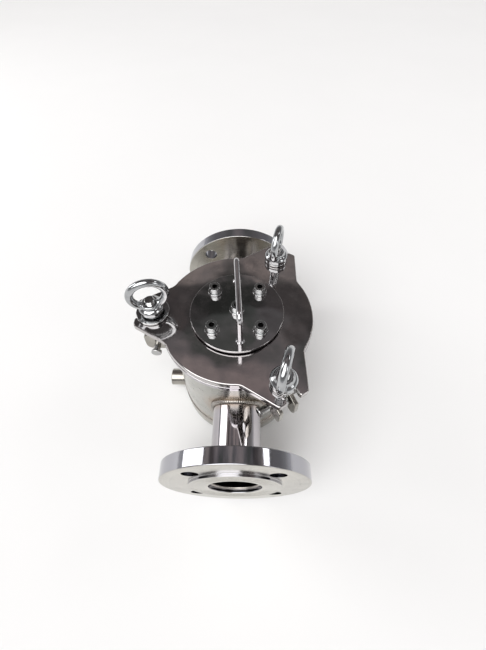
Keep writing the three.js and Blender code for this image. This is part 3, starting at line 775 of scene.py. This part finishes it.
def shade_socket(obj, radius, below, above):
    """Painted shade: marks the inside of a hexagon socket round Z in the tint attribute, which the screw
    material turns near-black.
    """
    points = np.array([vertex.co for vertex in obj.data.vertices]) / MM
    x, y, z = points.T
    inside = (np.hypot(x, y) < radius + 0.05) & (z < below) & (z > above)
    painted_socket_shade = obj.data.attributes.new("heat_tint_and_painted_shade", "FLOAT", "POINT")
    painted_socket_shade.data.foreach_set("value", 2 * inside.astype(np.float32))
    return obj


def make_rod_fasteners():
    pattern = make_screw()
    for rod in RODS:
        node = f"rod_washer_{rod}"
        low, high = span(node)
        centre = middle(node)
        outer, bore = (high.x - low.x) / 2, 4.5
        profile = [(bore, low.z, 0.2), (outer, low.z, 0.25), (outer, high.z, 0.45), (bore, high.z, 0.3)]
        finish(move(lathe(node + "_mesh", profile, 64), centre.x, centre.y), BRIGHT, [node])
        node = f"rod_screw_{rod}"
        seat = span(node)[0].z + 20
        screw = turn(copy_of(pattern, node + "_mesh"), "Z", 17 * len(rod))
        finish(move(screw, centre.x, centre.y, seat), SCREW, [node], sharp=35)
    bpy.data.objects.remove(pattern)


def make_handle():
    low, high = span("lift_handle")
    rod, pad = 3.2, 5.2
    bar = high.z - rod
    near = Vector((high.x - pad, low.y + pad))
    far = Vector((low.x + pad, high.y - pad))
    length = (far - near).length
    corners = [(0, low.z), (0, bar, 9), (length, bar, 9), (length, low.z)]
    along = (far - near) / length
    path = [(near.x + along.x * s, near.y + along.y * s, z)
            for s, z in rounded(corners, closed=False, steps=12)]
    dense = []
    for a, b in zip(path, path[1:]):
        steps = max(1, round(math.dist(a, b) / 2.0))
        dense += [np.array(a) + (np.array(b) - np.array(a)) * k / steps for k in range(steps)]
    dense.append(np.array(path[-1]))
    handle = tube("lift_handle_mesh", dense, rod, 32)
    feet = []
    for place in (near, far):
        profile = [(0, low.z), (pad, low.z, 0.2), (pad - 0.2, low.z + 0.9, 0.5),
                   (rod + 0.5, low.z + 2.2, 0.8), (rod - 0.4, low.z + 3.0), (0, low.z + 3.0)]
        feet.append(move(lathe("foot", profile, 48), place.x, place.y))
    merge(handle, *feet)
    finish(handle, WIRE, ["lift_handle"], sharp=50)


# ---------------------------------------------------------------- drain

def make_drain():
    low, high = span("drain_coupling")
    centre = middle("drain_coupling")
    radius, bore = (high.y - low.y) / 2, 7.6
    end = -low.x
    bevel = 0.8
    loops = []
    for ring_radius, mouth_radius in ((radius, radius - bevel), (bore, bore + bevel)):
        ring = circle(ring_radius, 64)
        starts = [math.sqrt((VESSEL_R + 0.3) ** 2 - y * y) for y, z in ring]
        side = [[(-(s + (end - s) * t), y, z + centre.z) for (y, z), s in zip(ring, starts)]
                for t in np.linspace(0, 1, 8)[:-1]]
        side.append([(-(end - bevel), y, z + centre.z) for y, z in ring])
        squeeze = mouth_radius / ring_radius
        side.append([(-end, y * squeeze, z * squeeze + centre.z) for y, z in ring])
        loops += side if ring_radius == radius else side[::-1]
    finish(skin("drain_coupling_mesh", loops, wrap=True), SATIN_PART, ["drain_coupling"])
    line = [(-math.sqrt((VESSEL_R + 1.0) ** 2 - y * y), y, z + centre.z)
            for y, z in circle(radius + 0.7, 160)]
    bead("weld_drain", line, 2.2)
    low, high = span("drain_plug")
    radius = (high.y - low.y) / 2
    start, end = -high.x, -low.x
    profile = [(0, start), (radius, start, 0.6), (radius, end, 0.9), (0, end)]
    plug = lathe("drain_plug_mesh", profile, 64)
    socket, depth = 4.6, 6
    carve(plug, lathe("socket", [(0, end - depth), (socket, end - depth), (socket, end - 0.5),
                                 (socket, end + 3), (0, end + 3)], 6))
    # the inside of the plug's socket is marked for painted shade
    shade_socket(soften(plug, 0.2, above=58, segments=2), socket, end - 0.4, end - depth - 0.5)
    finish(move(lying(plug, 180), z=centre.z), SCREW, ["drain_plug"], sharp=35)


# ---------------------------------------------------------------- swing-bolt clamps

def upright(obj):
    return turn(obj, "X", 90)


def thread(name, radius, z0, z1, pitch=1.75, depth=1.0):
    """A threaded rod: at every height its radius follows the helix."""
    segments, per_turn = 36, 8
    rows = round((z1 - z0) / pitch * per_turn)
    loops = []
    for row in range(rows + 1):
        z = z0 + (z1 - z0) * row / rows
        ring = []
        for i in range(segments):
            phase = ((z - z0) / pitch - i / segments) % 1
            cut = depth * min(1, max(0, abs(2 * phase - 1) * 1.35 - 0.18))
            end = min(1, (z1 - z) / 1.2)
            r = radius - max(cut, 0.9 * (1 - end))
            ring.append((r * math.cos(TAU * i / segments), r * math.sin(TAU * i / segments), z))
        loops.append(ring)
    return skin(name, loops)


def make_pin_hole(half):
    return upright(lathe("hole", [(0, -half), (PIN_HOLE_R, -half), (PIN_HOLE_R, half), (0, half)], 48))


def make_swing_bolt(pivot, top):
    """Eye bolt in the clamp's own frame, with its pivot on the Z axis at that height."""
    eye_r, half_width, shank = 9.5, 6.0, 5.9
    neck_top = pivot + 20
    profile = [(0, -half_width), (eye_r, -half_width, 1.0), (eye_r, half_width, 1.0), (0, half_width)]
    bolt = upright(lathe("bolt", profile, 64))
    move(bolt, z=pivot)
    neck = lathe("neck", [(0, pivot), (shank + 0.7, pivot), (shank + 0.7, pivot + 8, 3),
                          (shank - 0.1, pivot + 12, 3), (shank - 0.1, neck_top, 0.5), (0, neck_top)], 48)
    rod = thread("rod", shank, neck_top - 0.7, top)
    merge(bolt, neck)
    merge(bolt, rod)
    carve(bolt, move(make_pin_hole(10), z=pivot))
    return bolt


def make_ring_nut(neck):
    """Ring nut standing on z = -neck: collar, boss and a loop that swells into the boss."""
    collar_r, collar_t, boss_r, boss_top, neck_r, bore = 14.5, 8.5, 10.2, 12.5, 8.5, 6.3
    profile = [(0, 0), (collar_r - 0.8, 0, 0.5), (collar_r, 0.8, 0.5), (collar_r, collar_t - 2.4, 1.2),
               (collar_r - 2.2, collar_t, 1.6), (0, collar_t)]
    collar = lathe("nut", profile, 72)
    boss = lathe("boss", [(0, 2), (boss_r + 1.4, 2), (boss_r + 1.4, collar_t, 2), (boss_r, collar_t + 2, 2),
                          (boss_r - 0.6, boss_top, 1.2), (0, boss_top)], 72)
    path = [(LOOP_R * math.sin(a), 0, LOOP_RISE - LOOP_R * math.cos(a))
            for a in np.linspace(0, TAU, 96, endpoint=False)]

    def swelling(place, angle):
        away = min(place, 1 - place) * 360
        return LOOP_ROD - 0.1 + 2.0 * math.exp(-(away / 26) ** 2)

    loop = tube("loop", path, swelling, 24, closed=True)
    merge(collar, boss)
    merge(collar, loop)
    if neck:
        merge(collar, lathe("neck", [(0, -neck), (neck_r, -neck, 0.5), (neck_r, 3), (0, 3)], 72))
    top = boss_top + 10
    carve(collar, lathe("bore", [(0, -neck - 5), (bore, -neck - 5), (bore, top), (0, top)], 48))
    modifier = collar.modifiers.new("blend", "REMESH")
    modifier.mode = "VOXEL"
    modifier.voxel_size = 0.55 * MM
    modifier = collar.modifiers.new("smooth", "SMOOTH")
    modifier.factor = 0.5
    modifier.iterations = 5
    return bake(collar)


def make_clevis(name, pin_at):
    """Clevis in the clamp's own frame: +X outward from the vessel axis, +Y tangential."""
    reach, back, slot_end = 116, VESSEL_R - 5, 84
    z0, z1 = (corner.z for corner in span(f"{name}_clevis"))
    outline = [(back, z0), (reach, z0, 11), (reach, z1 - 9, 3), (reach - 24, z1, 4), (back, z1)]
    outer = EAR_INNER + EAR_T
    clevis = upright(prism("clevis", rounded(outline, steps=8), -outer, outer, edge=0.9))
    slot = [(slot_end, -EAR_INNER, 2.5), (reach + 8, -EAR_INNER), (reach + 8, EAR_INNER),
            (slot_end, EAR_INNER, 2.5)]
    slot_tool = prism("slot", rounded(slot), z0 - 5, z1 + 5, edge=0.01, steps=1)
    wall = rod_shape("wall", VESSEL_R + 0.3, z0 - 5, z1 + 5, 180)
    carve(clevis, slot_tool, wall, move(make_pin_hole(2 * outer), pin_at, 0, LID_TOP - PIVOT_DROP))
    return soften(clevis, 0.5, above=62, segments=2)


def place_clamp_piece(obj, node, azimuth, material, sharp=42, shift=0.0):
    obj.name = node + "_mesh"
    move(obj, x=shift)
    turn(obj, "Z", azimuth)
    finish(obj, material, [node], sharp=sharp)


def make_pin(pivot, side):
    rod, head, head_t, long_end, short_end = 4.0, 6.3, 3.5, 29.0, 20.0
    neck = long_end - head_t
    profile = [(0, -short_end), (rod, -short_end, 0.8), (rod, neck, 0.4), (head, neck, 0.5),
               (head, long_end, 1.2), (0, long_end)]
    return move(turn(lathe("pin", profile, 64), "X", side * -90), z=pivot)


def make_nut(flats, height, bore):
    """A hexagon nut with chamfered corners, standing on z = 0."""
    corner_r = flats / math.sqrt(3)
    nut = lathe("nut", [(0, 0), (corner_r, 0), (corner_r, height), (0, height)], 6)
    chamfer = 0.6 * (corner_r - flats / 2) + 0.1
    turned = lathe("turned", [(0, 0), (flats / 2 - 0.2, 0), (corner_r + 0.1, chamfer),
                              (corner_r + 0.1, height - chamfer), (flats / 2 - 0.2, height), (0, height)], 72)
    combine(nut, "INTERSECT", [turned])
    tool = [(0, -1), (bore + 1.6, -1), (bore, 0.7), (bore, height - 0.7), (bore + 1.6, height + 1),
            (0, height + 1)]
    carve(nut, lathe("hole", tool, 48))
    return soften(nut, 0.18, above=40, segments=2)


def make_clamps():
    pivot = LID_TOP - PIVOT_DROP
    bolt_top = span("left_swing_bolt")[1].z
    bolt_pattern = make_swing_bolt(pivot, bolt_top)
    hex_pattern = make_nut(13, 5.5, 4.3)
    for name in STATIONS:
        centre = middle(f"{name}_washer")
        reach = centre.xy.length
        azimuth = math.degrees(math.atan2(centre.y, centre.x))
        tangent = Vector((-centre.y, centre.x)) / reach
        side = 1 if (middle(f"{name}_pin") - centre).xy.dot(tangent) > 0 else -1
        place_clamp_piece(make_clevis(name, reach), f"{name}_clevis", azimuth, SATIN_PART)
        place_clamp_piece(copy_of(bolt_pattern, "b"), f"{name}_swing_bolt", azimuth, BRIGHT, 38, reach)
        place_clamp_piece(make_pin(pivot, side), f"{name}_pin", azimuth, BRIGHT, 42, reach)
        nut = turn(move(copy_of(hex_pattern, "n"), z=12.8), "X", side * 90)
        place_clamp_piece(move(nut, z=pivot), f"{name}_pin_nut", azimuth, BRIGHT, 35, reach)
        low, high = span(f"{name}_washer")
        outer, bore = (high.x - low.x) / 2, 6.5
        profile = [(bore, low.z, 0.3), (outer, low.z, 0.4), (outer, high.z, 0.9), (bore, high.z, 0.5)]
        place_clamp_piece(lathe("w", profile, 96), f"{name}_washer", azimuth, BRIGHT, 50, reach)
        low, high = span(f"{name}_ring_nut")
        seat = high.z - LOOP_RISE - LOOP_R - LOOP_ROD
        ring = turn(move(make_ring_nut(seat - low.z), z=seat), "Z", RING_TURN[name])
        place_clamp_piece(ring, f"{name}_ring_nut", azimuth, CHROME, 80, reach)
        make_clevis_welds(name, azimuth)
    for pattern in (bolt_pattern, hex_pattern):
        bpy.data.objects.remove(pattern)


def make_clevis_welds(name, azimuth):
    z0, z1 = (corner.z for corner in span(f"{name}_clevis"))
    half = EAR_INNER + EAR_T
    for label, side in (("a", 1), ("b", -1)):
        across = side * (half + 0.5)
        line = [(math.sqrt((VESSEL_R + 0.4) ** 2 - across ** 2), across, z)
                for z in np.linspace(z0 - 0.5, z1 + 0.5, 90)]
        c, s = math.cos(math.radians(azimuth)), math.sin(math.radians(azimuth))
        line = [(x * c - y * s, x * s + y * c, z) for x, y, z in line]
        bead(f"weld_{name}_clevis_{label}", line, 2.2, closed=False)


# ---------------------------------------------------------------- stage, light and camera

def make_floor():
    size = 14.0
    bm = bmesh.new()
    bmesh.ops.create_grid(bm, x_segments=4, y_segments=4, size=size)
    mesh = bpy.data.meshes.new("floor")
    bm.to_mesh(mesh)
    bm.free()
    floor = bpy.data.objects.new("floor", mesh)
    floor.location.z = -0.0003
    scene.collection.objects.link(floor)
    material = bpy.data.materials.new("pale_floor")
    material.use_nodes = True
    tree = material.node_tree
    shader = tree.nodes["Principled BSDF"]
    place = add(tree, "TexCoord").outputs["Object"]
    mottle = noise(tree, place, 3.0, 4.0).outputs["Fac"]
    color = add(tree, "Mix", {"Factor": mottle, "A": (0.90, 0.90, 0.895, 1), "B": (0.93, 0.93, 0.925, 1)},
                data_type="RGBA")
    tree.links.new(color.outputs["Result"], shader.inputs["Base Color"])
    shader.inputs["Roughness"].default_value = 0.9
    shader.inputs["Specular IOR Level"].default_value = 0.0
    mesh.materials.append(material)


def make_world():
    """A dim room overhead with soft patches and a darker beam across it, and a bright horizon."""
    world = bpy.data.worlds.new("studio")
    world.use_nodes = True
    scene.world = world
    tree = world.node_tree
    direction = add(tree, "TexCoord").outputs["Generated"]
    wander = ranged(tree, noise(tree, direction, 3.4, 3.0, 0.5).outputs["Fac"], 0.3, 0.7, -0.05, 0.05)
    level = add(tree, "SeparateXYZ", {0: direction}).outputs["Z"]
    overhead = ranged(tree, level, 0.45, 0.7, 0.0, 1.0)
    wander = add(tree, "Math", {0: wander, 1: overhead}, operation="MULTIPLY").outputs[0]
    height = add(tree, "Math", {0: level, 1: wander}, operation="ADD").outputs[0]
    ramp = add(tree, "ValToRGB", {"Fac": height})
    stops = [(0.0, (0.62, 0.62, 0.63)), (0.08, (0.50, 0.50, 0.51)), (0.18, (0.32, 0.32, 0.32)),
             (0.34, (0.22, 0.215, 0.22)), (0.60, (0.20, 0.19, 0.19)), (0.74, (0.26, 0.245, 0.24)),
             (0.79, (0.09, 0.085, 0.085)), (0.82, (0.08, 0.075, 0.075)), (0.86, (0.22, 0.21, 0.215)),
             (0.93, (0.24, 0.22, 0.225)), (1.0, (0.25, 0.24, 0.24))]
    elements = ramp.color_ramp.elements
    elements[0].position, elements[0].color = stops[0][0], (*stops[0][1], 1)
    elements[1].position, elements[1].color = stops[-1][0], (*stops[-1][1], 1)
    for position, color in stops[1:-1]:
        elements.new(position).color = (*color, 1)
    patches = noise(tree, direction, 4.6, 4.0, 0.6).outputs["Fac"]
    tints = add(tree, "ValToRGB", {"Fac": ranged(tree, patches, 0.40, 0.60, 0.0, 1.0)})
    shades = tints.color_ramp.elements
    shades[0].color = (0.42, 0.47, 0.44, 1)
    shades[1].color = (1.50, 1.36, 1.32, 1)
    shades.new(0.5).color = (0.86, 0.84, 0.86, 1)
    mixed = add(tree, "Mix", {"Factor": ranged(tree, level, 0.50, 0.74, 0.0, 1.0), "A": ramp.outputs[0],
                              "B": tints.outputs[0]}, data_type="RGBA", blend_type="MULTIPLY")
    background = tree.nodes["Background"]
    tree.links.new(mixed.outputs["Result"], background.inputs["Color"])
    background.inputs["Strength"].default_value = 1.0


def make_window(name, azimuth, elevation, width, height, brightness, distance=2.4):
    """A soft upright light at an azimuth from +Y towards +X, facing the object."""
    a, e = math.radians(azimuth), math.radians(elevation)
    toward = Vector((math.sin(a) * math.cos(e), math.cos(a) * math.cos(e), math.sin(e)))
    data = bpy.data.lights.new(name, "AREA")
    data.shape = "RECTANGLE"
    data.size, data.size_y = width, height
    data.energy = brightness * math.pi * width * height
    light = bpy.data.objects.new(name, data)
    light.location = toward * distance + Vector((0, 0, 0.15))
    light.rotation_euler = toward.to_track_quat("Z", "Y").to_euler()
    scene.collection.objects.link(light)


def make_lights():
    data = bpy.data.lights.new("sky", "SUN")
    data.energy = 2.6
    data.angle = math.radians(60)
    sun = bpy.data.objects.new("sky", data)
    sun.rotation_euler = Vector((-0.35, -0.75, 1.25)).to_track_quat("Z", "Y").to_euler()
    scene.collection.objects.link(sun)
    make_window("window_left", -75, 25, 0.7, 1.45, 3.4)
    make_window("window_right", 70, 42, 0.6, 0.34, 4.0)
    make_window("window_back_left", -128, 30, 0.6, 0.9, 2.2)
    make_window("window_back_right", 122, 28, 0.7, 0.8, 2.2)


def make_camera():
    """The viewpoint: close above the outlet flange, looking steeply down along the flow axis."""
    place = Vector((13.6, -245.2, 542.7)) * MM
    pitch, yaw, roll = math.radians(48.96), math.radians(-1.42), math.radians(-0.78)
    forward = Vector((math.sin(yaw) * math.cos(pitch), math.cos(yaw) * math.cos(pitch), -math.sin(pitch)))
    level = Vector((math.cos(yaw), -math.sin(yaw), 0))
    above = level.cross(forward)
    right = math.cos(roll) * level + math.sin(roll) * above
    up = -math.sin(roll) * level + math.cos(roll) * above
    data = bpy.data.cameras.new("camera")
    data.sensor_width = 36
    data.lens = 20.09
    data.shift_x, data.shift_y = 0.0003, -0.0797
    data.clip_start, data.clip_end = 0.01, 60
    camera = bpy.data.objects.new("camera", data)
    rotation = Matrix((right, up, -forward)).transposed()
    camera.matrix_world = Matrix.Translation(place) @ rotation.to_4x4()
    scene.collection.objects.link(camera)
    scene.camera = camera


make_camera()
make_shell()
make_cap()
make_body_ring()
for nozzle, turned_by in (("outlet", 0), ("inlet", 180)):
    make_pipe(nozzle, turned_by)
    make_flange(nozzle, turned_by)
make_basket_screen()
make_basket_fittings()
make_lid()
make_plate()
make_rods()
make_rod_fasteners()
make_handle()
make_drain()
make_clamps()
make_floor()
make_world()
make_lights()
scene.view_settings.view_transform = "Standard"
